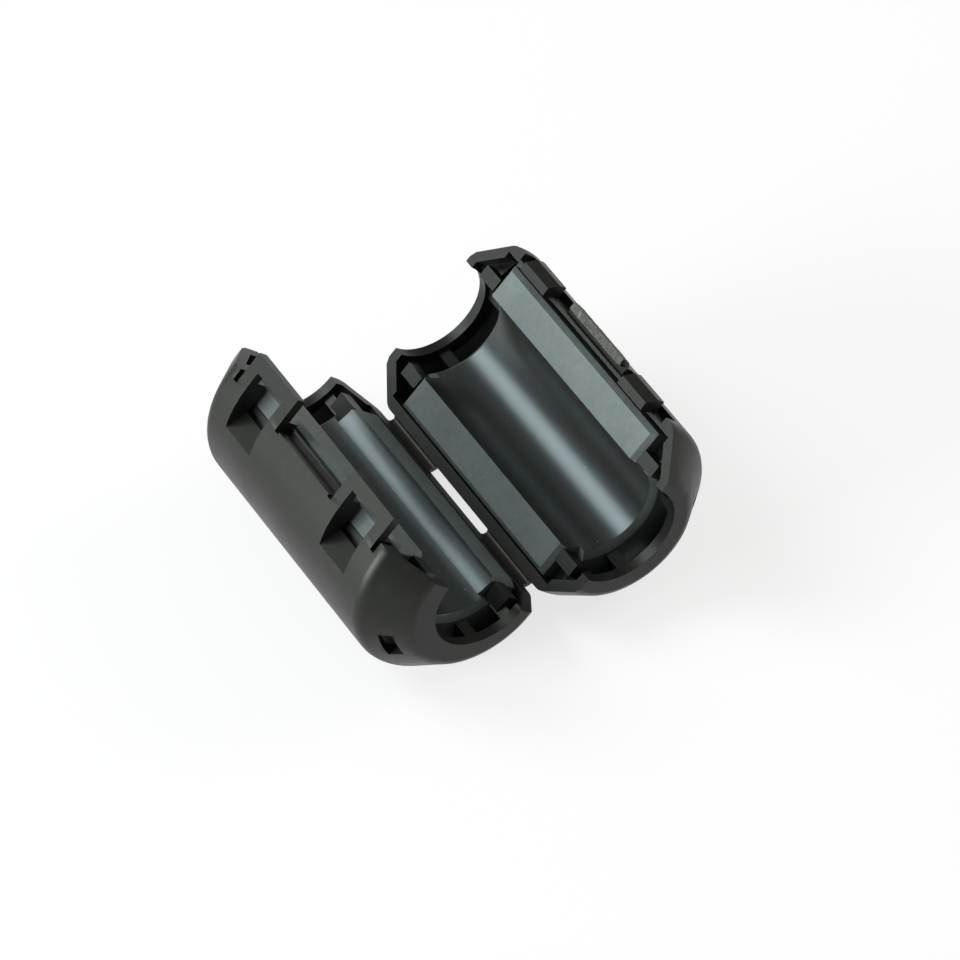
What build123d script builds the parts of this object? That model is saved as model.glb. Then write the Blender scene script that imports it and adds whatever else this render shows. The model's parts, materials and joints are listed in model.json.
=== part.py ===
from build123d import *
import math
import os

# Sizes are millimetres and degrees. Each half is drawn in its own section plane: x runs from the bore
# axis to the latch side, y points out of the mating face, and the cable runs along the row's Y.

# Cable bore and ferrite half cores
bore_radius = 5.5
core_half_width = 9.2
core_straight = 1.1
core_face_drop = 0.02
core_edge_chamfer = 0.5
core_mouth_chamfer = 0.6
ledge_length = 1.3
ledge_depth = 2.3

# Case
case_length = 36.4
collar_depth = 2.4
core_clearance = 0.1
hinge_wall = 1.15
case_straight = 0.85
rim_drop = 0.1
shoulder = 3.8
shoulder_hinge_inset = 3.1
shoulder_latch_inset = 4.1
shoulder_edge_radius = 1.6
collar_edge_chamfer = 0.45
shoulder_wall = 1.1
end_wall = 1.1
cable_clearance = 0.25
latch_gap = 0.6
latch_gap_depth = 3.4

# Snap: two hooks on one half, two window loops on the other
latch_spacing = 18.0
rim_lip = 0.35
hook_setback = 0.15
hook_length = 4.2
hook_height = 1.4
hook_catch_depth = 0.9
hook_lip = 1.1
hook_overhang = 0.5
hook_top_width = 0.9
snap_clearance = 0.15
loop_thickness = 1.1
loop_width = 7.4
loop_height = 2.5
loop_bar = 1.5
loop_side_gap = 0.3
loop_slot_width = 0.6
loop_slot_depth = 1.4
window_width = 4.6
window_depth = 5.6
recess_depth = 1.8
pocket_wall = 0.8

# Ridge between the hooks, and the step in the other rim that takes it
ridge_length = 9.2
ridge_drop = 0.25
ridge_width = 0.65
ridge_overhang = 0.45
ridge_bevel = 0.3
ledge_drop = 0.95
latch_rim_drop = 0.6
step_depth = 1.15

# Ends: ribs, retaining nubs and slots in the shoulders
rib_thickness = 1.2
upper_rib_angle = 17.0
lower_rib_angle = 53.0
rib_bore_gap = 0.5
nub_width = 1.4
nub_drop = 0.3
nub_clearance = 0.1
shoulder_slot_width = 1.2
shoulder_slot_start = 52.0
shoulder_slot_span = 22.0
shoulder_slot_inset = 2.1

# Living hinge
hinge_gap = 0.51
hinge_slot_length = 10.0
web_inset = 5.4
web_thickness = 0.45
web_drop = 0.15

# The pose modelled: the halves stand open, each on its round back
opening_angle = 91.0

# Places worked out from the sizes above
CATCH = 1
LATCH = -1
over = 4.0
mating_tilt = math.radians(90.0 - opening_angle / 2)
hinge_side = core_half_width + core_clearance + hinge_wall
gap_wall = core_half_width + latch_gap
lip_face = gap_wall + rim_lip
catch_side = lip_face + pocket_wall
bar_face = catch_side + snap_clearance
latch_side = bar_face + loop_thickness
axis_to_bore = hinge_side + hinge_gap
opening_radius = bore_radius + cable_clearance
case_end = case_length / 2
shoulder_start = case_end - shoulder
collar_inner = case_end - end_wall
core_length = 2 * (collar_inner - collar_depth - core_clearance)
core_end = core_length / 2
bed_end = core_end + core_clearance
strip_end = core_end - ledge_length
web_length = (case_length - 2 * web_inset - hinge_slot_length) / 2
web_spacing = hinge_slot_length + web_length
barrel_radius = {CATCH: (hinge_side + catch_side) / 2, LATCH: (hinge_side + latch_side) / 2}
barrel_middle = {CATCH: (catch_side - hinge_side) / 2, LATCH: (latch_side - hinge_side) / 2}
outer_side = {CATCH: catch_side, LATCH: latch_side}


def hinge_rise(side, straight):
    """Height of the hinge axis over the floor, for one half's barrel and its straight depth."""
    across = (axis_to_bore + barrel_middle[side]) * math.sin(mating_tilt)
    return barrel_radius[side] - across + straight * math.cos(mating_tilt)


# The latch half's straight depth is worked out so that both barrels touch the floor
hinge_height = hinge_rise(CATCH, case_straight)
straight_depth = {
    CATCH: case_straight,
    LATCH: (hinge_height - hinge_rise(LATCH, 0.0)) / math.cos(mating_tilt),
}


def barrel_reach(side):
    """How far one half's barrel reaches sideways from the hinge axis."""
    across = (axis_to_bore + barrel_middle[side]) * math.cos(mating_tilt)
    return across + straight_depth[side] * math.sin(mating_tilt) + barrel_radius[side]


# The latch half is the wider one, so the hinge stands beside the middle of the whole bead
hinge_offset = (barrel_reach(LATCH) - barrel_reach(CATCH)) / 2


def section_plane(side, v=0.0):
    """Plane across the cable at the bore axis of one half."""
    across = Vector(side * math.cos(mating_tilt), 0, math.sin(mating_tilt))
    axis = Vector(hinge_offset, v, hinge_height) + across * axis_to_bore
    return Plane(origin=axis, x_dir=across, z_dir=(0, -side, 0))


def mating_plane(side, height=0.0):
    """Plane parallel to the mating face of one half, at a height above it."""
    section = section_plane(side)
    origin = section.from_local_coords(Vector(0, height, 0))
    return Plane(origin=origin, x_dir=section.x_dir, z_dir=section.y_dir)


def spot(side, shape):
    """Centre of a shape in one half's own directions: across, out of the mating face, along the cable."""
    centre = shape.center(CenterOf.BOUNDING_BOX)
    local = section_plane(side).to_local_coords(centre)
    return Vector(local.X, local.Y, centre.Y)


def barrel_outline(side, v=0.0, hinge_inset=0.0, latch_inset=0.0):
    """Section of the case: straight sides down to one round back."""
    hinge_x = hinge_inset - hinge_side
    latch_x = outer_side[side] - latch_inset
    straight = straight_depth[side]
    middle = (hinge_x + latch_x) / 2
    bottom = -straight - (latch_x - hinge_x) / 2
    with BuildSketch(section_plane(side, v)) as outline:
        with BuildLine():
            Polyline((hinge_x, -straight), (hinge_x, over), (latch_x, over), (latch_x, -straight))
            ThreePointArc((latch_x, -straight), (middle, bottom), (hinge_x, -straight))
        make_face()
    return outline.sketch


def shoulder_section(side, end, v, wall=0.0):
    """Section of a shoulder at a distance along the cable, or of the space inside its wall."""
    share = (v - shoulder_start) / shoulder
    return barrel_outline(side, end * v, wall + share * shoulder_hinge_inset, wall + share * shoulder_latch_inset)


def barrel_body(side):
    """Solid outside of one half: barrel, shoulders narrowing to the ends, eased edges."""
    with BuildPart() as body:
        extrude(barrel_outline(side), amount=shoulder_start, both=True)
        for end in (-1, 1):
            loft([shoulder_section(side, end, shoulder_start), shoulder_section(side, end, case_end)], ruled=True)
        fillet(edges_at(body, side, shoulder_start), radius=shoulder_edge_radius)
        chamfer(edges_at(body, side, case_end), length=collar_edge_chamfer)
    return body.part


def edges_at(body, side, distance):
    """Edges of a body that lie across the cable at a distance from the middle."""
    return [
        edge for edge in body.edges()
        if abs(abs(spot(side, edge).Z) - distance) < 0.01 and spot(side, edge).Y < over - 0.01
        and edge.bounding_box().size.Y < 0.01
    ]


def core_outline(side, margin, top):
    """Section of a half core's outside, grown by a margin and closed at a height."""
    edge = core_half_width + margin
    with BuildSketch(section_plane(side)) as outline:
        with BuildLine():
            Polyline((-edge, -core_straight), (-edge, top), (edge, top), (edge, -core_straight))
            ThreePointArc((edge, -core_straight), (0, -core_straight - edge), (-edge, -core_straight))
        make_face()
    return outline.sketch


def profile(side, points, v=0.0):
    """Closed polygon in a half's section plane."""
    with BuildSketch(section_plane(side, v)) as outline:
        with BuildLine():
            Polyline(*points, close=True)
        make_face()
    return outline.sketch


def ferrite_half(side):
    """Half core: a thick half tube with ground mating strips and a ledge at each end."""
    with BuildPart() as core:
        extrude(core_outline(side, 0, -core_face_drop), amount=core_end, both=True)
        with BuildSketch(section_plane(side)):
            Circle(bore_radius)
        extrude(amount=2 * core_end, both=True, mode=Mode.SUBTRACT)
        with BuildSketch(mating_plane(side, -ledge_depth)):
            with Locations((0, core_end), (0, -core_end)):
                Rectangle(3 * core_half_width, 2 * ledge_length)
        extrude(amount=ledge_depth + over, mode=Mode.SUBTRACT)
        rims = [
            edge for edge in core.edges()
            if abs(spot(side, edge).Y + core_face_drop) < 0.01 and abs(spot(side, edge).X) > bore_radius + 0.1
        ]
        chamfer(rims, length=core_edge_chamfer)
        mouths = [
            edge for edge in core.edges().filter_by(GeomType.CIRCLE)
            if abs(edge.radius - bore_radius) < 0.01 and abs(abs(spot(side, edge).Z) - core_end) < 0.01
        ]
        chamfer(mouths, length=core_mouth_chamfer)
    return core.part


def collar_hollow(side, end):
    """Space between the core's end and the end wall, with its radial ribs left standing."""
    wall = shoulder_wall * math.sqrt(2.0)
    rib_span = barrel_radius[side]
    rib_middle = opening_radius + rib_bore_gap + rib_span / 2
    with BuildPart() as hollow:
        loft([shoulder_section(side, end, v, wall) for v in (bed_end, collar_inner)], ruled=True)
        with BuildSketch(section_plane(side, end * bed_end)):
            for angle in (-upper_rib_angle, -lower_rib_angle, lower_rib_angle - 180, upper_rib_angle - 180):
                with PolarLocations(rib_middle, 1, start_angle=angle):
                    Rectangle(rib_span, rib_thickness)
        extrude(amount=collar_inner - bed_end, dir=(0, end, 0), mode=Mode.SUBTRACT)
    return hollow.part


def shoulder_slots(side, end):
    """Two arc slots through a shoulder, either side of the lowest line."""
    middle = (barrel_middle[side], -straight_depth[side])
    radius = barrel_radius[side] - shoulder_slot_inset
    with BuildPart() as slots:
        for start in (-shoulder_slot_start - shoulder_slot_span, shoulder_slot_start - 180):
            with BuildSketch(section_plane(side, end * bed_end)):
                with BuildLine():
                    inner = CenterArc(middle, radius - shoulder_slot_width / 2, start, shoulder_slot_span)
                    outer = CenterArc(middle, radius + shoulder_slot_width / 2, start, shoulder_slot_span)
                    Line(inner @ 0, outer @ 0)
                    Line(inner @ 1, outer @ 1)
                make_face()
            extrude(amount=2 * shoulder, dir=(0, end, 0))
    return slots.part


def retaining_nubs(side, end):
    """Square nubs that stand on the upper ribs and reach over the core's ledges."""
    bottom = nub_clearance - ledge_depth
    height = -nub_drop - bottom
    nub_middle = opening_radius + nub_width / 2
    start = strip_end + nub_clearance
    with BuildPart() as nubs:
        with BuildSketch(section_plane(side, end * start)):
            with Locations((nub_middle, bottom + height / 2), (-nub_middle, bottom + height / 2)):
                Rectangle(nub_width, height)
        extrude(amount=bed_end + rib_thickness - start, dir=(0, end, 0))
    return nubs.part


def case_half(side):
    """One half shell without its snap: barrel, shoulders, core bed, collars, end openings."""
    spaces = [collar_hollow(side, end) for end in (-1, 1)] + [shoulder_slots(side, end) for end in (-1, 1)]
    nubs = [retaining_nubs(side, end) for end in (-1, 1)]
    gap_middle = (core_half_width + gap_wall) / 2
    body = barrel_body(side)
    with BuildPart() as half:
        add(body)
        extrude(core_outline(side, core_clearance, over), amount=bed_end, both=True, mode=Mode.SUBTRACT)
        with BuildSketch(section_plane(side)):
            with Locations((gap_middle, (over - latch_gap_depth) / 2)):
                Rectangle(latch_gap, over + latch_gap_depth)
        extrude(amount=bed_end, both=True, mode=Mode.SUBTRACT)
        for space in spaces:
            add(space, mode=Mode.SUBTRACT)
        with BuildSketch(section_plane(side)):
            Circle(opening_radius)
        extrude(amount=case_length, both=True, mode=Mode.SUBTRACT)
        with BuildSketch(mating_plane(side, -rim_drop)):
            Rectangle(4 * barrel_radius[side], 2 * case_length)
        extrude(amount=2 * over, mode=Mode.SUBTRACT)
        for nub in nubs:
            add(nub)
    return half.part


def loop_clearances(side):
    """Pockets in the catch half's rim round the hooks, and the ledge between them."""
    outside = lip_face + barrel_radius[side] / 2
    with BuildPart() as recesses:
        with BuildSketch(mating_plane(side, -recess_depth)):
            for v in (-latch_spacing / 2, latch_spacing / 2):
                with Locations((outside, v)):
                    Rectangle(barrel_radius[side], loop_width + 2 * loop_side_gap)
        extrude(amount=recess_depth + over)
        with BuildSketch(mating_plane(side, -ledge_drop)):
            with Locations((outside, 0)):
                Rectangle(barrel_radius[side], latch_spacing)
        extrude(amount=ledge_drop + over)
    return recesses.part


def hook(side, v):
    """Hook: a ramped head on the rim's lip that leans out over the loop's bar."""
    inner = gap_wall + hook_setback
    head = bar_face + hook_overhang
    points = [
        (inner, -recess_depth),
        (inner, hook_height),
        (inner + hook_top_width, hook_height),
        (head, hook_lip - hook_catch_depth),
        (head, -hook_catch_depth),
        (lip_face, -hook_catch_depth),
        (lip_face, -recess_depth),
    ]
    with BuildPart() as one:
        extrude(profile(side, points, v), amount=hook_length / 2, both=True)
    return one.part


def ridge(side):
    """Ridge that stands on the ledge between the hooks and overhangs the barrel."""
    outer = catch_side + ridge_overhang
    inner = outer - ridge_width
    points = [
        (inner, -recess_depth),
        (inner, -ridge_drop),
        (outer - ridge_bevel, -ridge_drop),
        (outer, -ridge_drop - ridge_bevel),
        (outer, -ledge_drop - ridge_bevel),
        (catch_side - snap_clearance, -recess_depth),
    ]
    with BuildPart() as bar:
        extrude(profile(side, points), amount=ridge_length / 2, both=True)
    return bar.part


def loop_bars(side):
    """Two standing tabs, flush with the outside of the barrel."""
    with BuildPart() as tabs:
        with BuildSketch(mating_plane(side, -straight_depth[side])):
            for v in (-latch_spacing / 2, latch_spacing / 2):
                with Locations(((bar_face + latch_side) / 2, v)):
                    Rectangle(loop_thickness, loop_width)
        extrude(amount=loop_height + straight_depth[side])
    return tabs.part


def windows(side):
    """Windows of the loops: open to the core above, with a floor that slopes out to the barrel below."""
    run = window_depth - latch_gap_depth
    fall = window_depth - straight_depth[side]
    exit_x = barrel_middle[side] + math.sqrt(barrel_radius[side] ** 2 - fall**2)
    slope = (exit_x - gap_wall) / run
    reach = window_depth + run
    middle = (core_half_width + gap_wall) / 2
    points = [
        (middle, over),
        (bar_face, over),
        (bar_face, loop_height - loop_bar),
        (latch_side + loop_thickness, loop_height - loop_bar),
        (latch_side + loop_thickness, -reach),
        (gap_wall + slope * (reach - latch_gap_depth), -reach),
        (gap_wall, -latch_gap_depth),
        (middle, -latch_gap_depth),
    ]
    with BuildPart() as openings:
        for v in (-latch_spacing / 2, latch_spacing / 2):
            extrude(profile(side, points, v), amount=window_width / 2, both=True)
    return openings.part


def rim_step(side):
    """Step in the latch half's rim between the loops, and the slots beside each loop."""
    outside = lip_face + barrel_radius[side] / 2
    inner_edge = (latch_spacing - loop_width) / 2
    slot_place = (loop_width + loop_slot_width) / 2
    with BuildPart() as step:
        with BuildSketch(mating_plane(side, -latch_rim_drop)):
            with Locations((outside, 0)):
                Rectangle(barrel_radius[side] + 2 * rim_lip, 2 * inner_edge)
        extrude(amount=latch_rim_drop + over)
        with BuildSketch(mating_plane(side, -step_depth)):
            with Locations((outside + rim_lip, 0)):
                Rectangle(barrel_radius[side], 2 * inner_edge)
        extrude(amount=step_depth + over)
        with BuildSketch(mating_plane(side, -loop_slot_depth)):
            for v in (-latch_spacing / 2, latch_spacing / 2):
                with Locations((outside, v - slot_place), (outside, v + slot_place)):
                    Rectangle(barrel_radius[side], loop_slot_width)
        extrude(amount=loop_slot_depth + over)
    return step.part


def hinge_web(v):
    """One thin web of the living hinge, bent between the rims of the two halves."""
    reach_x = hinge_gap * math.cos(mating_tilt) + web_drop * math.sin(mating_tilt)
    reach_z = hinge_gap * math.sin(mating_tilt) - web_drop * math.cos(mating_tilt)
    inner_radius = reach_x / math.sin(mating_tilt)
    outer_radius = inner_radius + web_thickness
    centre_z = hinge_height + reach_z + inner_radius * math.cos(mating_tilt)
    start = 270 - math.degrees(mating_tilt)
    span = 2 * math.degrees(mating_tilt)
    with BuildPart() as web:
        with BuildSketch(Plane.XZ.offset(-v)):
            with BuildLine():
                inner = CenterArc((hinge_offset, centre_z), inner_radius, start, span)
                outer = CenterArc((hinge_offset, centre_z), outer_radius, start, span)
                Line(inner @ 0, outer @ 0)
                Line(inner @ 1, outer @ 1)
            make_face()
        extrude(amount=web_length / 2, both=True)
    return web.part


os.makedirs("parts", exist_ok=True)

# Catch half: shell with recessed rim, hooks and ridge
catch_case = case_half(CATCH)
catch_recesses = loop_clearances(CATCH)
catch_hooks = [hook(CATCH, v) for v in (-latch_spacing / 2, latch_spacing / 2)]
catch_ridge = ridge(CATCH)
with BuildPart() as catch_shell:
    add(catch_case)
    add(catch_recesses, mode=Mode.SUBTRACT)
    add(catch_hooks)
    add(catch_ridge)
catch_shell.part.label = "catch_shell"
export_step(catch_shell.part, "parts/catch_shell.step")

# Latch half: shell with loops, windows and stepped rim
latch_case = case_half(LATCH)
latch_tabs = loop_bars(LATCH)
latch_windows = windows(LATCH)
latch_step = rim_step(LATCH)
with BuildPart() as latch_shell:
    add(latch_case)
    add(latch_step, mode=Mode.SUBTRACT)
    add(latch_tabs)
    add(latch_windows, mode=Mode.SUBTRACT)
latch_shell.part.label = "latch_shell"
export_step(latch_shell.part, "parts/latch_shell.step")

# Ferrite half cores
for name, side in (("catch_ferrite", CATCH), ("latch_ferrite", LATCH)):
    ferrite = ferrite_half(side)
    ferrite.label = name
    export_step(ferrite, f"parts/{name}.step")

# Living hinge
for name, v in (("hinge_web_far", web_spacing / 2), ("hinge_web_near", -web_spacing / 2)):
    web = hinge_web(v)
    web.label = name
    export_step(web, f"parts/{name}.step")
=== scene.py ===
"""Looks of an open clip-on ferrite bead: moulded black case halves, ground ferrite cores, living hinge."""

import json
import logging
import math
import random
from dataclasses import dataclass
from enum import Enum

import bmesh
import bpy
from mathutils import Matrix, Vector


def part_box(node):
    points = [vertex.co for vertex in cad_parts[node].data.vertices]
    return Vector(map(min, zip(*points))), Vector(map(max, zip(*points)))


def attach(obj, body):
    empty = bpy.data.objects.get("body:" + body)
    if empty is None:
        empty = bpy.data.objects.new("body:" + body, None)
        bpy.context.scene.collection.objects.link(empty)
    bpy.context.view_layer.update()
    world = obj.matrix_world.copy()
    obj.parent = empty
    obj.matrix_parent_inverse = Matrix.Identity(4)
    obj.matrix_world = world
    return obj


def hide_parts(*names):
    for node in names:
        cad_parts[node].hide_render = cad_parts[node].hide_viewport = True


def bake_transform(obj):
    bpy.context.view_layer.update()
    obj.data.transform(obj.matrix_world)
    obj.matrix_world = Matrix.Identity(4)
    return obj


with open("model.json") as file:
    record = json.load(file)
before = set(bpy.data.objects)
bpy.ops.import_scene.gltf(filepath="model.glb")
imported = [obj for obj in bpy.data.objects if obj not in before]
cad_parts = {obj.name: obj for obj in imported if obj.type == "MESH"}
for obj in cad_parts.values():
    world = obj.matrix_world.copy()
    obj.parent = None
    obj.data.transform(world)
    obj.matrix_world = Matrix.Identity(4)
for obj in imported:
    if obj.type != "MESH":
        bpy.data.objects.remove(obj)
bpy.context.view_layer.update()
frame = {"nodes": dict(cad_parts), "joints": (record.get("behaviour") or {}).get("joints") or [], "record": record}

log = logging.getLogger("bead")
MM = 0.001
MERGE_DISTANCE = 1e-6
FLAT_ANGLE = math.radians(1.0)
MIDDLE = 0.5
JOINT = frame["joints"][0]
HINGE = Vector(JOINT["pos_m"])
MOUNTS = {mount["name"]: mount for mount in frame["record"]["mounts"]}


class Half(Enum):
    """The two halves of the case, named for what snaps them shut."""

    CATCH = "catch"
    LATCH = "latch"


@dataclass(frozen=True)
class HalfFrame:
    """Directions and places of one half, worked out from its bore mount and the hinge.

    Attributes:
        half: which half this is.
    """

    half: Half

    @property
    def body(self) -> str:
        """Name of the body that the half rides on."""
        return f"{self.half.value}_half"

    @property
    def side(self) -> int:
        """+1 for the half on +X, -1 for the half on -X."""
        return 1 if self.half is Half.CATCH else -1

    @property
    def bore(self) -> Vector:
        """Point on the bore axis, halfway along it."""
        return Vector(MOUNTS[f"{self.half.value}_bore"]["pos_m"])

    @property
    def across(self) -> Vector:
        """Direction in the mating face, from the hinge to the latch side."""
        return (self.bore - HINGE).normalized()

    @property
    def outward(self) -> Vector:
        """Direction out of the mating face."""
        return Vector((-self.side * self.across.z, 0.0, self.side * self.across.x))

    def point(self, across: float, along: float, out: float) -> Vector:
        """Turns millimetres in the half's own directions into a place in the frame.

        Args:
            across: from the bore axis towards the latch side.
            along: along the cable, towards the far end.
            out: above the mating face.

        Returns:
            The place in metres.
        """
        place = self.bore + self.across * (across * MM) + self.outward * (out * MM)
        return place + Vector((0.0, along * MM, 0.0))


class Sum:
    """A number in a node tree, so that maths on sockets reads as maths."""

    def __init__(self, maker: "NodeBook", source) -> None:
        """Wraps an output socket or a plain number.

        Args:
            maker: the tree that owns the nodes.
            source: an output socket or a float.
        """
        self.maker = maker
        self.source = source

    def _math(self, operation: str, other, swap: bool = False) -> "Sum":
        """Adds one Math node.

        Args:
            operation: Blender's name of the operation.
            other: the second value, a Sum or a float.
            swap: whether the other value comes first.

        Returns:
            The result as a Sum.
        """
        theirs = other.source if isinstance(other, Sum) else other
        pair = (theirs, self.source) if swap else (self.source, theirs)
        node = self.maker.node("ShaderNodeMath", {"operation": operation}, {0: pair[0], 1: pair[1]})
        return Sum(self.maker, node.outputs[0])

    def __add__(self, other) -> "Sum":
        """Sum of two values."""
        return self._math("ADD", other)

    __radd__ = __add__

    def __sub__(self, other) -> "Sum":
        """Difference of two values."""
        return self._math("SUBTRACT", other)

    def __rsub__(self, other) -> "Sum":
        """Difference with the other value first."""
        return self._math("SUBTRACT", other, swap=True)

    def __mul__(self, other) -> "Sum":
        """Product of two values."""
        return self._math("MULTIPLY", other)

    def __gt__(self, other) -> "Sum":
        """1 where this value is the larger one, else 0."""
        return self._math("GREATER_THAN", other)

    def __lt__(self, other) -> "Sum":
        """1 where this value is the smaller one, else 0."""
        return self._math("LESS_THAN", other)

    def __pow__(self, other) -> "Sum":
        """Power of a value."""
        return self._math("POWER", other)

    def __abs__(self) -> "Sum":
        """Size without the sign."""
        return self._math("ABSOLUTE", 0.0)

    def sine(self) -> "Sum":
        """Sine of an angle in radians."""
        return self._math("SINE", 0.0)

    def cosine(self) -> "Sum":
        """Cosine of an angle in radians."""
        return self._math("COSINE", 0.0)

    def clamp(self) -> "Sum":
        """The value held between 0 and 1."""
        return self._math("MINIMUM", 1.0)._math("MAXIMUM", 0.0)

    def peaks(self, start: float, slope: float) -> "Sum":
        """Only the high places: 0 up to a start, then rising to 1.

        Args:
            start: the value at which the rise begins.
            slope: how steeply it rises.

        Returns:
            The peaks as a Sum.
        """
        return ((self - start) * slope).clamp()


class NodeBook:
    """A node tree and the one way to add nodes to it."""

    NOISE_START = (0.5137, 0.7731, 0.3391)

    def __init__(self, tree: bpy.types.NodeTree) -> None:
        """Takes a tree and empties it.

        Args:
            tree: a shader tree or a geometry tree.
        """
        self.tree = tree
        self.tree.nodes.clear()

    def node(self, kind: str, settings: dict, values: dict):
        """Adds a node, sets it, then fills or links its sockets.

        Args:
            kind: Blender's name of the node type.
            settings: attributes of the node.
            values: socket name or index to a number, colour, socket or Sum.

        Returns:
            The node.
        """
        node = self.tree.nodes.new(kind)
        for name, value in settings.items():
            setattr(node, name, value)
        for name, value in values.items():
            self.feed(node.inputs[name], value)
        return node

    def feed(self, socket, value) -> None:
        """Gives a socket its value or link.

        Args:
            socket: the input socket.
            value: a number, colour, output socket or Sum.
        """
        if isinstance(value, Sum):
            value = value.source
        if isinstance(value, bpy.types.NodeSocket):
            self.tree.links.new(value, socket)
        elif hasattr(value, "__len__") and len(value) == 3 and socket.type == "RGBA":
            socket.default_value = (*value, 1.0)
        else:
            socket.default_value = value

    def number(self, value) -> Sum:
        """Wraps a socket or number for maths."""
        return Sum(self, value)

    def split(self, vector) -> tuple:
        """The three parts of a vector socket, each ready for maths."""
        parts = self.node("ShaderNodeSeparateXYZ", {}, {0: vector})
        return tuple(Sum(self, parts.outputs[index]) for index in range(3))

    def join(self, x, y, z):
        """A vector socket from three values."""
        return self.node("ShaderNodeCombineXYZ", {}, {0: x, 1: y, 2: z}).outputs[0]

    def noise(self, vector, scale: float, detail: float = 2.0, roughness: float = 0.5) -> Sum:
        """Soft random pattern.

        Args:
            vector: coordinates.
            scale: waves in each metre.
            detail: octaves.
            roughness: share that each octave keeps.

        Returns:
            A value round 0.5.
        """
        moved = self.node("ShaderNodeVectorMath", {"operation": "ADD"}, {0: vector, 1: self.NOISE_START})
        node = self.node(
            "ShaderNodeTexNoise", {},
            {"Vector": moved.outputs[0], "Scale": scale, "Detail": detail, "Roughness": roughness},
        )
        return Sum(self, node.outputs[0])


class Recipe(NodeBook):
    """A geometry node tree with named sizes, turned into a plain mesh."""

    def __init__(self, name: str) -> None:
        """Makes an empty recipe.

        Args:
            name: name of the tree.
        """
        super().__init__(bpy.data.node_groups.new(name, "GeometryNodeTree"))
        self.tree.interface.new_socket("Geometry", in_out="OUTPUT", socket_type="NodeSocketGeometry")
        self.sizes = {}
        self.inlet = self.tree.nodes.new("NodeGroupInput")
        self.outlet = self.tree.nodes.new("NodeGroupOutput")

    def size(self, name: str, value: float) -> Sum:
        """Adds a named input and gives it its value.

        Args:
            name: name of the input.
            value: its value, in metres, radians or as a plain number.

        Returns:
            The input, ready for maths.
        """
        item = self.tree.interface.new_socket(name, in_out="INPUT", socket_type="NodeSocketFloat")
        self.sizes[item.identifier] = value
        return Sum(self, self.inlet.outputs[name])

    def block(self, counts: tuple):
        """A cube of side 1 with its faces divided, and the parts of its points' places.

        Args:
            counts: points along X, Y and Z.

        Returns:
            The mesh socket and the three parts.
        """
        names = ("Vertices X", "Vertices Y", "Vertices Z")
        cube = self.node("GeometryNodeMeshCube", {}, {"Size": (1.0, 1.0, 1.0), **dict(zip(names, counts))})
        return cube.outputs["Mesh"], self.split(self.node("GeometryNodeInputPosition", {}, {}).outputs[0])

    def make(self, mesh, position, material: bpy.types.Material, name: str, smooth: bool) -> bpy.types.Object:
        """Places the points, sets the finish, and turns the result into a plain mesh.

        Args:
            mesh: mesh socket.
            position: vector socket with the points' places.
            material: finish.
            name: name of the piece.
            smooth: whether its faces are shaded smooth.

        Returns:
            The new object.
        """
        moved = self.node("GeometryNodeSetPosition", {}, {"Geometry": mesh, "Position": position})
        shading = {"Geometry": moved.outputs[0], "Shade Smooth": smooth}
        shaded = self.node("GeometryNodeSetShadeSmooth", {}, shading)
        real = self.node("GeometryNodeRealizeInstances", {}, {"Geometry": shaded.outputs[0]})
        finish = self.node("GeometryNodeSetMaterial", {}, {"Geometry": real.outputs[0], "Material": material})
        self.tree.links.new(finish.outputs[0], self.outlet.inputs[0])
        piece = bpy.data.objects.new(name, bpy.data.meshes.new(name))
        bpy.context.scene.collection.objects.link(piece)
        modifier = piece.modifiers.new("recipe", "NODES")
        modifier.node_group = self.tree
        for identifier, value in self.sizes.items():
            modifier[identifier] = value
        settle(piece)
        return piece


class Shader(NodeBook):
    """One procedural material, with the Principled node at its end."""

    def __init__(self, name: str) -> None:
        """Makes an empty material.

        Args:
            name: name of the material.
        """
        self.material = bpy.data.materials.new(name)
        self.material.use_nodes = True
        super().__init__(self.material.node_tree)
        self.output = self.tree.nodes.new("ShaderNodeOutputMaterial")
        self.surface = self.tree.nodes.new("ShaderNodeBsdfPrincipled")
        self.tree.links.new(self.surface.outputs[0], self.output.inputs["Surface"])

    def place(self):
        """Object coordinates, in metres in the shared frame."""
        return self.node("ShaderNodeTexCoord", {}, {}).outputs["Object"]

    def grey(self, value):
        """A value as a grey colour."""
        return self.node("ShaderNodeCombineColor", {}, {0: value, 1: value, 2: value}).outputs[0]

    def toned(self, colour, tone):
        """A colour times a value."""
        settings = {"data_type": "RGBA", "blend_type": "MULTIPLY"}
        return self.node("ShaderNodeMix", settings, {0: 1.0, 6: colour, 7: self.grey(tone)}).outputs[2]

    def blend(self, factor, first, second):
        """Colour between two colours.

        Args:
            factor: 0 for the first colour, 1 for the second.
            first: colour or socket.
            second: colour or socket.

        Returns:
            The colour socket.
        """
        node = self.node("ShaderNodeMix", {"data_type": "RGBA"}, {0: factor, 6: first, 7: second})
        return node.outputs[2]

    def bump(self, height, strength: float, distance: float):
        """Normal bent by a height.

        Args:
            height: height as a Sum or socket.
            strength: 0 to 1.
            distance: metres for a height of 1.

        Returns:
            The normal socket.
        """
        values = {"Height": height, "Strength": strength, "Distance": distance}
        return self.node("ShaderNodeBump", {}, values).outputs[0]

    def finish(self, **sockets) -> bpy.types.Material:
        """Feeds the Principled node and returns the material.

        Args:
            **sockets: socket name with underscores for spaces, and its value.

        Returns:
            The finished material.
        """
        for name, value in sockets.items():
            self.feed(self.surface.inputs[name.replace("_", " ")], value)
        return self.material


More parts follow.
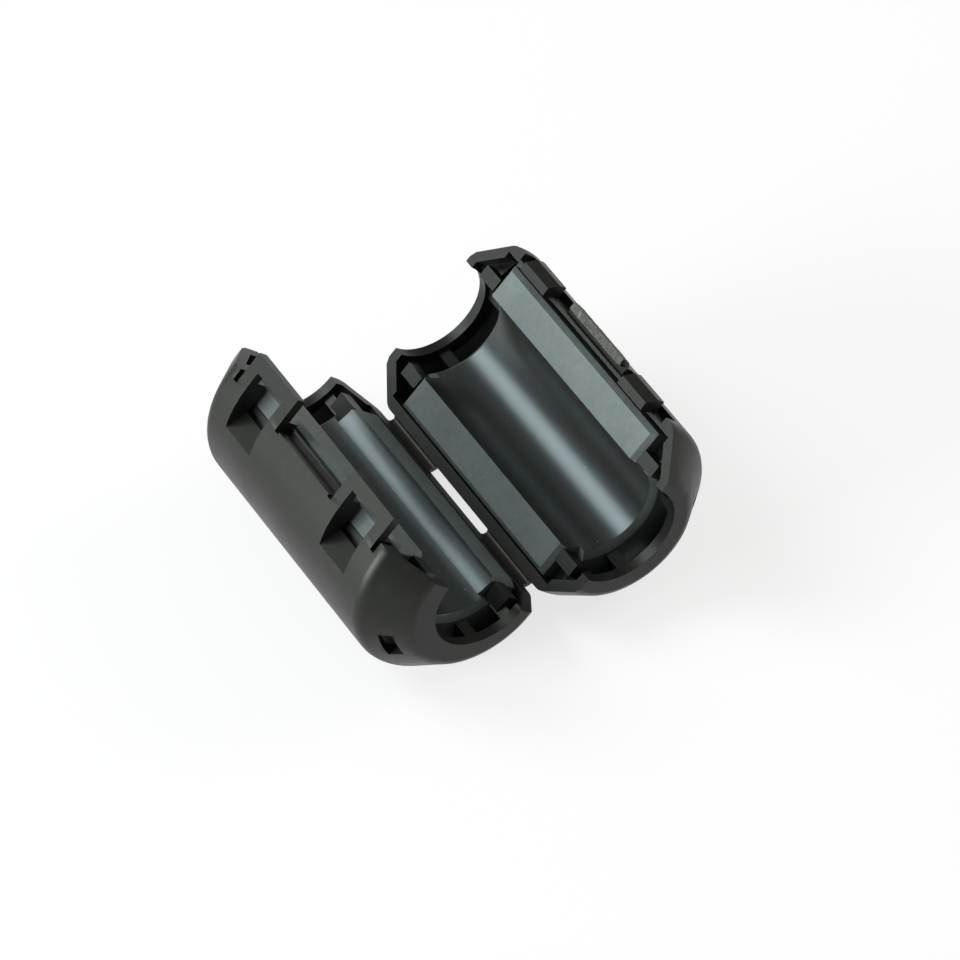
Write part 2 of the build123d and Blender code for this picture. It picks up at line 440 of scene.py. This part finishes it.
@dataclass(frozen=True)
class MouldedPlastic:
    """Satin black moulded plastic: fine spark texture, flow clouds, faint rubs and dust; on the edge finish the
    rubbed colour is partly a painted highlight.

    Attributes:
        name: material name.
        colour: base colour.
        rub_and_glint_colour: colour where it is rubbed; on the edge finish it is partly a painted highlight.
        roughness: middle roughness.
        shine: specular level of the surface.
        tint: tint of its shine.
        rub_and_glint_share: how much of the surface takes the rubbed colour, on the edge finish partly a painted
            highlight.
        grain_depth: depth of the spark texture in metres.
        grain_strength: strength of the spark texture.
        spark_height: share of the sparks in the texture.
        patch_height: share of the patches in the texture.
        cloud_sway: how far the flow clouds change the roughness.
        patch_sway: how far the patches change it.
        dust_colour: colour of the dust.
        dust_cover: how much of the plastic's colour the dust hides.
        dust_dulling: roughness that the dust adds.
        cloud_waves: waves of the flow clouds in each metre.
        patch_waves: waves of the patches in each metre.
        spark_waves: waves of the sparks in each metre.
        dust_waves: waves of the dust in each metre.
    """

    name: str
    colour: tuple = (0.0078, 0.0083, 0.0075)
    rub_and_glint_colour: tuple = (0.040, 0.042, 0.038)
    roughness: float = 0.42
    shine: float = 0.29
    tint: tuple = (0.96, 1.0, 0.92)
    rub_and_glint_share: float = 0.20
    grain_depth: float = 0.000014
    grain_strength: float = 0.45
    spark_height: float = 0.7
    patch_height: float = 0.8
    cloud_sway: float = 0.16
    patch_sway: float = 0.14
    dust_colour: tuple = (0.26, 0.27, 0.25)
    dust_cover: float = 0.35
    dust_dulling: float = 0.2
    cloud_waves: float = 140.0
    patch_waves: float = 620.0
    spark_waves: float = 9000.0
    dust_waves: float = 5200.0

    def build(self) -> bpy.types.Material:
        """Makes the material."""
        shader = Shader(self.name)
        place = shader.place()
        cloud = shader.noise(place, self.cloud_waves, detail=3.0)
        patch = shader.noise(place, self.patch_waves, detail=5.0, roughness=0.66)
        spark = shader.noise(place, self.spark_waves, detail=2.0, roughness=0.6)
        dust = shader.noise(place, self.dust_waves, detail=1.0).peaks(start=0.80, slope=22.0)
        # paler rubbed patches; on the edge finish they stand partly for a painted highlight along the edges
        rub_and_glint_mask = patch.peaks(start=0.58, slope=5.0) * self.rub_and_glint_share
        colour = shader.blend(rub_and_glint_mask, self.colour, self.rub_and_glint_colour)
        colour = shader.blend(dust * self.dust_cover, colour, self.dust_colour)
        clouds = (cloud - MIDDLE) * self.cloud_sway
        patches = (patch - MIDDLE) * self.patch_sway
        rough = self.roughness + clouds + patches + dust * self.dust_dulling
        height = spark * self.spark_height + patch * self.patch_height
        normal = shader.bump(height, self.grain_strength, self.grain_depth)
        material = shader.finish(Base_Color=colour, Roughness=rough, Normal=normal)
        shader.surface.inputs["Specular IOR Level"].default_value = self.shine
        shader.surface.inputs["Specular Tint"].default_value = (*self.tint, 1.0)
        return material


class Finish(Enum):
    """The plastic's finishes: moulded faces, polished edges made paler for rubbing and a painted highlight, torn
    ridge, flexed hinge.
    """

    FACE = MouldedPlastic("case_plastic")
    # edge finish: its paler colours stand partly for rubbing and partly for a painted highlight along the edges
    EDGE = MouldedPlastic(
        "case_edge_rub_and_glint", (0.022, 0.023, 0.021), (0.150, 0.155, 0.140), roughness=0.38, shine=0.34, rub_and_glint_share=0.8
    )
    TORN = MouldedPlastic(
        "torn_plastic", (0.070, 0.072, 0.064), (0.26, 0.265, 0.24), roughness=0.60, rub_and_glint_share=1.0,
        grain_depth=0.00006,
    )
    FLEXED = MouldedPlastic("hinge_plastic", (0.014, 0.0125, 0.0115), (0.050, 0.042, 0.040), roughness=0.42)


@dataclass(frozen=True)
class Ferrite:
    """Ferrite: ground mottled mating faces, a dark smooth bore, dull pressed sides.

    Attributes:
        place: the half whose mating face and bore the pattern follows.
        ground: colour of the ground faces.
        bore: colour of the bore.
        pressed: colour of the rest.
        chipped: colour of fresh chips along the edges.
        tint: tint of its shine.
        index: refractive index, high as in real ferrite.
        eased: tone of the chamfers against the ground faces.
        bore_calm: how much fainter the grain is in the smooth bore, as a share.
        bore_polish: how much less rough the bore is.
        roughness: middle roughness outside the bore.
        tone: middle tone.
        cloud_tone: how far the clouds change the tone.
        grain_tone: how far the mottling and the grain each change it.
        grain_sway: how far the grain changes the roughness.
        mottle_sway: how far the mottling changes it.
        grain_height: share of the grain in the surface's height.
        mottle_height: share of the mottling in it.
        wheel_height: share of the grinding marks in it, on the ground faces.
        relief_strength: strength of the surface's height.
        relief_depth: its depth in metres.
        speck_colour: colour of the pale specks.
        speck_cover: how much of the colour below the specks hide.
        grain_waves: waves of the grain, specks and grinding marks in each metre.
        mottle_waves: waves of the mottling in each metre.
        cloud_waves: waves of the clouds in each metre.
        wheel_stretch: share of the waves left along the grinding marks.
        chip_waves: waves of the broken edges in each metre.
        bore_limit: radius within which the surface is bore, in millimetres.
        face_limit: height above which the surface is ground, in millimetres.
        chamfer_limit: height above which it is chamfer, in millimetres.
    """

    place: HalfFrame
    ground: tuple = (0.118, 0.138, 0.133)
    bore: tuple = (0.026, 0.0255, 0.0240)
    pressed: tuple = (0.062, 0.070, 0.066)
    chipped: tuple = (0.100, 0.112, 0.106)
    tint: tuple = (0.80, 0.97, 1.0)
    index: float = 1.62
    eased: float = 0.96
    bore_calm: float = 0.62
    bore_polish: float = 0.35
    roughness: float = 0.66
    tone: float = 0.86
    cloud_tone: float = 0.35
    grain_tone: float = 0.55
    grain_sway: float = 0.24
    mottle_sway: float = 0.16
    grain_height: float = 0.8
    mottle_height: float = 0.5
    wheel_height: float = 0.5
    relief_strength: float = 0.5
    relief_depth: float = 0.000022
    speck_colour: tuple = (0.40, 0.43, 0.42)
    speck_cover: float = 0.55
    grain_waves: float = 5200.0
    mottle_waves: float = 1150.0
    cloud_waves: float = 260.0
    wheel_stretch: float = 0.06
    chip_waves: float = 4200.0
    bore_limit: float = 5.53
    face_limit: float = -0.06
    chamfer_limit: float = -0.56

    def build(self) -> bpy.types.Material:
        """Makes the material."""
        shader = Shader(f"{self.place.half.value}_ferrite_finish")
        place = shader.place()
        x, _, z = shader.split(place)
        x, z = x - self.place.bore.x, z - self.place.bore.z
        across = x * self.place.across.x + z * self.place.across.z
        out = x * self.place.outward.x + z * self.place.outward.z
        radius = (across * across + out * out) ** 0.5
        in_bore = radius < self.bore_limit * MM
        on_face = out > self.face_limit * MM
        grain = shader.noise(place, self.grain_waves, detail=5.0, roughness=0.72)
        mottle = shader.noise(place, self.mottle_waves, detail=4.0, roughness=0.65)
        cloud = shader.noise(place, self.cloud_waves, detail=3.0)
        along = (1.0, self.wheel_stretch, 1.0)
        stretch = shader.node("ShaderNodeMapping", {}, {"Vector": place, "Scale": along})
        wheel = shader.noise(stretch.outputs[0], self.grain_waves, detail=3.0, roughness=0.6)
        speck = shader.noise(place, self.grain_waves, detail=0.0).peaks(start=0.845, slope=34.0)
        calm = 1.0 - in_bore * self.bore_calm
        fine_tone = ((mottle - MIDDLE) * self.grain_tone + (grain - MIDDLE) * self.grain_tone) * calm
        tone = self.tone + (cloud - MIDDLE) * self.cloud_tone + fine_tone
        chamfer = tuple(self.eased * channel for channel in self.ground)
        base = shader.blend(out > self.chamfer_limit * MM, self.pressed, chamfer)
        base = shader.blend(in_bore, base, self.bore)
        base = shader.blend(on_face, base, self.ground)
        colour = shader.blend(speck * self.speck_cover, shader.toned(base, tone), self.speck_colour)
        fine_sway = ((grain - MIDDLE) * self.grain_sway + (mottle - MIDDLE) * self.mottle_sway) * calm
        rough = self.roughness - in_bore * self.bore_polish + fine_sway
        relief = (grain * self.grain_height + mottle * self.mottle_height) * calm
        height = relief + wheel * on_face * self.wheel_height
        normal = shader.bump(height, self.relief_strength, self.relief_depth)
        material = shader.finish(Base_Color=colour, Roughness=rough, Normal=normal)
        shader.surface.inputs["Specular Tint"].default_value = (*self.tint, 1.0)
        shader.surface.inputs["IOR"].default_value = self.index
        return material

    def build_chips(self) -> bpy.types.Material:
        """Makes the finish of the broken edges."""
        shader = Shader(f"{self.place.half.value}_ferrite_chips")
        place = shader.place()
        crumb = shader.noise(place, self.chip_waves, detail=5.0, roughness=0.75)
        colour = shader.toned(self.chipped, 0.55 + crumb * 0.9)
        normal = shader.bump(crumb, strength=0.7, distance=0.00003)
        return shader.finish(Base_Color=colour, Roughness=0.55 + (crumb - MIDDLE) * 0.3, Normal=normal)


def clean_copy(node: str, name: str) -> bpy.types.Object:
    """A merged copy of a CAD node, with its flat faces whole again.

    Args:
        node: name of the CAD node.
        name: name of the copy.

    Returns:
        The new object.
    """
    mesh = frame["nodes"][node].data.copy()
    mesh.name = name
    mesh.materials.clear()
    solid = bmesh.new()
    solid.from_mesh(mesh)
    bmesh.ops.remove_doubles(solid, verts=solid.verts, dist=MERGE_DISTANCE)
    bmesh.ops.dissolve_limit(
        solid, angle_limit=FLAT_ANGLE, use_dissolve_boundaries=False, verts=solid.verts, edges=solid.edges
    )
    solid.to_mesh(mesh)
    solid.free()
    for attribute in ("sharp_edge", "custom_normal"):
        if attribute in mesh.attributes:
            mesh.attributes.remove(mesh.attributes[attribute])
    piece = bpy.data.objects.new(name, mesh)
    bpy.context.scene.collection.objects.link(piece)
    return piece


def balance(piece: bpy.types.Object) -> None:
    """Lets the large faces set the normals, so that small edge faces read as rounding.

    Args:
        piece: the object, already shaded.
    """
    weighted = piece.modifiers.new("normals", "WEIGHTED_NORMAL")
    weighted.keep_sharp = True
    settle(piece)


def settle(piece: bpy.types.Object) -> None:
    """Applies every modifier of a piece.

    Args:
        piece: the object, which becomes a plain mesh.
    """
    graph = bpy.context.evaluated_depsgraph_get()
    mesh = bpy.data.meshes.new_from_object(piece.evaluated_get(graph))
    piece.modifiers.clear()
    piece.data = mesh


def shade(piece: bpy.types.Object, angle: float = 32.0) -> None:
    """Smooth shading that keeps edges sharper than an angle.

    Args:
        piece: the object.
        angle: degrees.
    """
    for face in piece.data.polygons:
        face.use_smooth = True
    piece.data.set_sharp_from_angle(angle=math.radians(angle))


@dataclass
class CaseShell:
    """One half shell of the case, with its moulded edges rounded, rubbed and painted paler as a highlight.

    Attributes:
        place: directions of the half.
        faces: plastic of the faces.
        edges: plastic of the rounded edges, paler for rubbing and a painted highlight.
        edge_radius: rounding of the moulded edges, in millimetres.
        edge_facets: facets across the rounding.
        edge_angle: least angle of an edge that is rounded, in degrees.
    """

    place: HalfFrame
    faces: bpy.types.Material
    edges: bpy.types.Material
    edge_radius: float = 0.10
    edge_facets: int = 2
    edge_angle: float = 28.0

    def build(self) -> bpy.types.Object:
        """Makes the dressed shell."""
        node = f"{self.place.half.value}_shell"
        piece = clean_copy(node, f"{node}_moulding")
        piece.data.materials.append(self.faces)
        piece.data.materials.append(self.edges)
        bevel = piece.modifiers.new("edges", "BEVEL")
        bevel.width = self.edge_radius * MM
        bevel.segments = self.edge_facets
        bevel.limit_method = "ANGLE"
        bevel.angle_limit = math.radians(self.edge_angle)
        bevel.use_clamp_overlap = True
        # the rounded edges take the paler edge plastic: rubbing and a painted highlight
        bevel.material = 1
        settle(piece)
        shade(piece)
        balance(piece)
        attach(piece, self.place.body)
        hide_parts(node)
        return piece


@dataclass
class CoreHalf:
    """One ferrite half core, with small chips along its edges.

    Attributes:
        place: directions of the half.
        finish: its ferrite.
        step: length of one chip, in millimetres.
        chip: widest chip, in millimetres.
        least: narrowest chip as a share of the widest.
        rarity: how rare wide chips are, as a power.
        sharp_angle: least angle of an edge that chips, in degrees.
        seed: seed of the chips.
    """

    place: HalfFrame
    finish: Ferrite
    step: float = 0.45
    chip: float = 0.16
    least: float = 0.22
    rarity: int = 3
    sharp_angle: float = 25.0
    seed: int = 11

    def build(self) -> bpy.types.Object:
        """Makes the dressed core."""
        node = f"{self.place.half.value}_ferrite"
        piece = clean_copy(node, f"{node}_core")
        piece.data.materials.append(self.finish.build())
        piece.data.materials.append(self.finish.build_chips())
        self._mark(piece.data)
        bevel = piece.modifiers.new("chips", "BEVEL")
        bevel.width = self.chip * MM
        bevel.segments = 1
        bevel.limit_method = "WEIGHT"
        bevel.use_clamp_overlap = True
        bevel.material = 1
        settle(piece)
        shade(piece)
        balance(piece)
        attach(piece, self.place.body)
        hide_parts(node)
        return piece

    def _weight(self, luck: random.Random) -> float:
        """Draws the width of one chip, as a share of the widest."""
        return self.least + (1.0 - self.least) * luck.random() ** self.rarity

    def _mark(self, mesh: bpy.types.Mesh) -> None:
        """Cuts the sharp edges into short lengths and weights each for its chip.

        Args:
            mesh: the core's mesh.
        """
        luck = random.Random(self.seed)
        solid = bmesh.new()
        solid.from_mesh(mesh)
        weight = solid.edges.layers.float.new("bevel_weight_edge")
        limit = math.radians(self.sharp_angle)
        sharp = [edge for edge in solid.edges if edge.calc_face_angle(0.0) > limit]
        for edge in sharp:
            pieces = max(1, round(edge.calc_length() / (self.step * MM)))
            corner, rest = edge.verts[0], edge
            for left in range(pieces, 1, -1):
                cut, point = bmesh.utils.edge_split(rest, corner, 1.0 / left)
                near, rest = (cut, rest) if corner in cut.verts else (rest, cut)
                near[weight] = self._weight(luck)
                corner = point
            rest[weight] = self._weight(luck)
        solid.to_mesh(mesh)
        solid.free()


@dataclass
class HingeWeb:
    """One thin web of the living hinge: a bent strip that widens and thickens into both rims.

    Attributes:
        node: the CAD node that it stands for.
        finish: the flexed plastic.
        gap: from the hinge axis to each rim, in millimetres.
        drop: from the rims' edge down to the web's upper face, in millimetres.
        thickness: thickness in the middle, in millimetres.
        overlap: how far the strip runs on into each rim, as a share of its bend.
        flare: widening at the rims, in millimetres.
        swell: thickening at the rims, as a share.
        rim_power: how close to the rims the flare and the swell stay, as a power.
        smooth_angle: least angle of an edge that stays sharp, in degrees.
        points: points across the bend, along the web and through it.
    """

    node: str
    finish: bpy.types.Material
    gap: float = 0.51
    drop: float = 0.15
    thickness: float = 0.45
    overlap: float = 0.10
    flare: float = 0.5
    swell: float = 0.35
    rim_power: float = 4.0
    smooth_angle: float = 50.0
    points: tuple = (33, 41, 5)

    def build(self) -> bpy.types.Object:
        """Makes the web and blends it across the hinge."""
        across = HalfFrame(Half.CATCH).across
        tilt = math.atan2(across.z, across.x)
        reach = self.gap * math.cos(tilt) + self.drop * math.sin(tilt)
        rise = self.gap * math.sin(tilt) - self.drop * math.cos(tilt)
        radius = reach / math.sin(tilt)
        low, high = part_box(self.node)
        recipe = Recipe(f"{self.node}_recipe")
        middle = recipe.size("Middle radius", (radius + self.thickness / 2) * MM)
        thick = recipe.size("Thickness", self.thickness * MM)
        bend = recipe.size("Bend", 2.0 * tilt * (1.0 + self.overlap))
        length = recipe.size("Length", high[1] - low[1])
        flare = recipe.size("Flare", self.flare * MM)
        swell = recipe.size("Swell", self.swell)
        mesh, (x, y, z) = recipe.block(self.points)
        ends = abs(x * 2.0) ** self.rim_power
        angle = x * bend
        spread = middle + z * thick * (ends * swell + 1.0)
        depth = spread * angle.cosine() * -1.0
        place = recipe.join(spread * angle.sine(), y * (length + flare * ends), depth)
        piece = recipe.make(mesh, place, self.finish, f"{self.node}_strip", True)
        centre = Vector((HINGE.x, (low[1] + high[1]) / 2, HINGE.z + (rise + radius * math.cos(tilt)) * MM))
        piece.data.transform(Matrix.Translation(centre))
        shade(piece, self.smooth_angle)
        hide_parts(self.node)
        side = Vector((reach * MM, 0.0, 0.0))
        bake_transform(piece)
        return piece


@dataclass
class TornRidge:
    """Ragged crest of torn flash on the ridge between the hooks.

    Attributes:
        place: directions of the catch half.
        finish: the torn plastic.
        middle: place of the crest's middle: across, along and out, in millimetres.
        size: its width, length and height, in millimetres.
        ragged: how far the flash stands up at most, in millimetres.
        waves: waves of the ragged edge in each metre.
        fine_share: how many fine waves go into one coarse wave.
        slack: share of the coarse waves left across the crest.
        end_power: how close to its ends the crest runs out, as a power.
        end_width: share of the width that is left at the ends.
        side_push: how far coarse and fine waves move the outer side, as shares of ragged.
        top_push: how far coarse waves move the top, as a share of ragged.
        points: points across, along and through the crest.
    """

    place: HalfFrame
    finish: bpy.types.Material
    middle: tuple = (11.12, 0.0, -0.52)
    size: tuple = (0.86, 9.0, 0.62)
    ragged: float = 0.22
    waves: float = 1900.0
    fine_share: float = 3.0
    slack: float = 0.7
    end_power: float = 12.0
    end_width: float = 0.86
    side_push: tuple = (0.9, 0.5)
    top_push: float = 1.5
    points: tuple = (9, 121, 9)

    def build(self) -> bpy.types.Object:
        """Makes the crest."""
        recipe = Recipe("torn_ridge_recipe")
        width = recipe.size("Width", self.size[0] * MM)
        length = recipe.size("Length", self.size[1] * MM)
        height = recipe.size("Height", self.size[2] * MM)
        ragged = recipe.size("Ragged", self.ragged * MM)
        mesh, (x, y, z) = recipe.block(self.points)
        coarse_place = recipe.join(x * width * self.slack, y * length, z * height * self.slack)
        rough = recipe.noise(coarse_place, self.waves, detail=4.0, roughness=0.7) - MIDDLE
        fine_place = recipe.join(x * width, y * length, z * height)
        fine = recipe.noise(fine_place, self.waves * self.fine_share, detail=3.0, roughness=0.7) - MIDDLE
        taper = 1.0 - abs(y * 2.0) ** self.end_power
        top = (z + 0.5) * taper
        rough_push, fine_push = self.side_push
        outer = (rough * ragged * rough_push + fine * ragged * fine_push) * (x + 0.5)
        place = recipe.join(
            x * width * (self.end_width + taper * (1.0 - self.end_width)) + outer,
            y * length,
            z * height + (rough * self.top_push + fine) * ragged * top,
        )
        piece = recipe.make(mesh, place, self.finish, "torn_ridge", False)
        turn = Matrix((self.place.across, Vector((0.0, 1.0, 0.0)), self.place.outward)).transposed().to_4x4()
        piece.data.transform(Matrix.Translation(self.place.point(*self.middle)) @ turn)
        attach(piece, self.place.body)
        return piece


@dataclass
class StudioCamera:
    """Camera at the photograph's viewing angle, worked out round the hinge axis.

    Attributes:
        azimuth: degrees from -Y towards -X.
        elevation: degrees above the floor.
        scale: pixels in each millimetre at the hinge.
        distance: millimetres from the hinge.
        shift_x: pixels of the hinge's middle right of the picture's middle.
        shift_y: pixels of it below the picture's middle.
        frame_pixels: pixels across the picture.
        sensor: width of the sensor in millimetres.
        nearest: nearest distance that is seen, in metres.
        farthest: farthest distance that is seen, in metres.
    """

    azimuth: float = 31.34
    elevation: float = 47.6
    scale: float = 10.13
    distance: float = 678.0
    shift_x: float = -21.96
    shift_y: float = 21.36
    frame_pixels: float = 960.0
    sensor: float = 36.0
    nearest: float = 0.01
    farthest: float = 20.0

    def build(self) -> bpy.types.Object:
        """Makes the camera and sets it as the scene's."""
        azimuth, elevation = math.radians(self.azimuth), math.radians(self.elevation)
        towards = Vector((
            -math.sin(azimuth) * math.cos(elevation),
            -math.cos(azimuth) * math.cos(elevation),
            math.sin(elevation),
        ))
        right = Vector((0.0, 0.0, 1.0)).cross(towards).normalized()
        up = towards.cross(right)
        data = bpy.data.cameras.new("photo_camera")
        data.sensor_width = self.sensor
        data.lens = self.sensor * self.scale * self.distance / self.frame_pixels
        data.clip_start = self.nearest
        data.clip_end = self.farthest
        camera = bpy.data.objects.new("photo_camera", data)
        bpy.context.scene.collection.objects.link(camera)
        turn = Matrix((right, up, towards)).transposed().to_4x4()
        place = HINGE + (
            towards * self.distance - right * (self.shift_x / self.scale) + up * (self.shift_y / self.scale)
        ) * MM
        camera.matrix_world = Matrix.Translation(place) @ turn
        bpy.context.scene.camera = camera
        return camera


@dataclass
class Studio:
    """Pale floor, white surroundings and soft lamps.

    Attributes:
        world_light: strength of the surroundings' light on the object.
        world_colour: its colour.
        floor_size: side of the floor in metres.
        floor_tone: tone of the floor where it takes light and shadow.
        floor_roughness: its roughness.
        floor_shine: share of plain white that reflections see in the floor.
        key_place: position of the main lamp, in metres.
        key_size: side of the main lamp in metres.
        key_power: its watts.
        side_place: position of the low lamp beside the latch half, in metres.
        side_size: side of the low lamp in metres.
        side_power: its watts.
        fill_place: position of the warm lamp beside the catch half, in metres.
        fill_size: side of the warm lamp in metres.
        fill_power: its watts.
        fill_colour: colour of its light.
        lamp_colour: colour of the light of the other two.
        floor_white: share of plain white that the camera sees in the floor.
    """

    world_light: float = 0.31
    world_colour: tuple = (0.98, 1.0, 0.97)
    floor_size: float = 6.0
    floor_tone: float = 0.93
    floor_roughness: float = 0.9
    floor_shine: float = 1.0
    key_place: tuple = (-0.46, 0.50, 0.62)
    key_size: float = 0.44
    key_power: float = 4.9
    side_place: tuple = (-0.85, 0.12, 0.17)
    side_size: float = 0.46
    side_power: float = 12.5
    fill_place: tuple = (0.86, -0.15, 0.52)
    fill_size: float = 0.5
    fill_power: float = 2.6
    fill_colour: tuple = (1.0, 0.94, 0.82)
    lamp_colour: tuple = (0.95, 0.99, 1.0)
    floor_white: float = 0.75

    def build(self) -> None:
        """Makes the floor, the world and the lamps."""
        self._world()
        self._floor()
        self._lamp("key_lamp", self.key_place, self.key_size, self.key_power, self.lamp_colour)
        self._lamp("side_lamp", self.side_place, self.side_size, self.side_power, self.lamp_colour)
        self._lamp("fill_lamp", self.fill_place, self.fill_size, self.fill_power, self.fill_colour)

    def _world(self) -> None:
        """White to the camera, soft as light."""
        world = bpy.data.worlds.new("surroundings")
        bpy.context.scene.world = world
        world.use_nodes = True
        book = NodeBook(world.node_tree)
        output = book.node("ShaderNodeOutputWorld", {}, {})
        seen = book.node("ShaderNodeLightPath", {}, {}).outputs["Is Camera Ray"]
        light = {"Color": self.world_colour, "Strength": self.world_light}
        soft = book.node("ShaderNodeBackground", {}, light)
        white = book.node("ShaderNodeBackground", {}, {"Color": (1.0, 1.0, 1.0), "Strength": 1.0})
        mix = book.node("ShaderNodeMixShader", {}, {0: seen, 1: soft.outputs[0], 2: white.outputs[0]})
        book.tree.links.new(mix.outputs[0], output.inputs["Surface"])

    def _floor(self) -> None:
        """Plain pale floor that keeps the shadow."""
        mesh = bpy.data.meshes.new("floor")
        solid = bmesh.new()
        bmesh.ops.create_grid(solid, x_segments=1, y_segments=1, size=self.floor_size / 2)
        solid.to_mesh(mesh)
        solid.free()
        floor = bpy.data.objects.new("floor", mesh)
        bpy.context.scene.collection.objects.link(floor)
        shader = Shader("floor_white")
        material = shader.finish(Base_Color=(self.floor_tone,) * 3, Roughness=self.floor_roughness)
        path = shader.node("ShaderNodeLightPath", {}, {}).outputs
        seen = shader.number(path["Is Camera Ray"]) * self.floor_white
        mirrored = shader.number(path["Is Glossy Ray"]) * self.floor_shine
        white = shader.node("ShaderNodeEmission", {}, {"Color": (1.0, 1.0, 1.0), "Strength": 1.0})
        shown = shader.node(
            "ShaderNodeMixShader", {},
            {0: (seen + mirrored).clamp(), 1: shader.surface.outputs[0], 2: white.outputs[0]},
        )
        shader.tree.links.new(shown.outputs[0], shader.output.inputs["Surface"])
        floor.data.materials.append(material)

    def _lamp(self, name: str, place: tuple, size: float, power: float, colour: tuple) -> None:
        """One soft lamp that looks at the bead.

        Args:
            name: lamp name.
            place: position in metres in the shared frame.
            size: side of the lamp in metres.
            power: watts.
            colour: colour of its light.
        """
        data = bpy.data.lights.new(name, "AREA")
        data.size = size
        data.energy = power
        data.color = colour
        lamp = bpy.data.objects.new(name, data)
        bpy.context.scene.collection.objects.link(lamp)
        aim = (HINGE - Vector(place)).to_track_quat("-Z", "Y").to_matrix().to_4x4()
        lamp.matrix_world = Matrix.Translation(place) @ aim


def main() -> None:
    """Builds the pieces in order and reports each."""
    logging.basicConfig(level=logging.INFO, format="%(name)s: %(message)s")
    bpy.context.scene.view_settings.view_transform = "Standard"
    finishes = {finish: finish.value.build() for finish in Finish}
    pieces = []
    for half in Half:
        place = HalfFrame(half)
        pieces.append(CaseShell(place, finishes[Finish.FACE], finishes[Finish.EDGE]).build())
        pieces.append(CoreHalf(place, Ferrite(place)).build())
    pieces.append(TornRidge(HalfFrame(Half.CATCH), finishes[Finish.TORN]).build())
    for node in ("hinge_web_far", "hinge_web_near"):
        pieces.append(HingeWeb(node, finishes[Finish.FLEXED]).build())
    for piece in pieces:
        log.info("%s dressed, %d faces", piece.name, len(piece.data.polygons))
    StudioCamera().build()
    Studio().build()


if __name__ == "__main__":
    main()
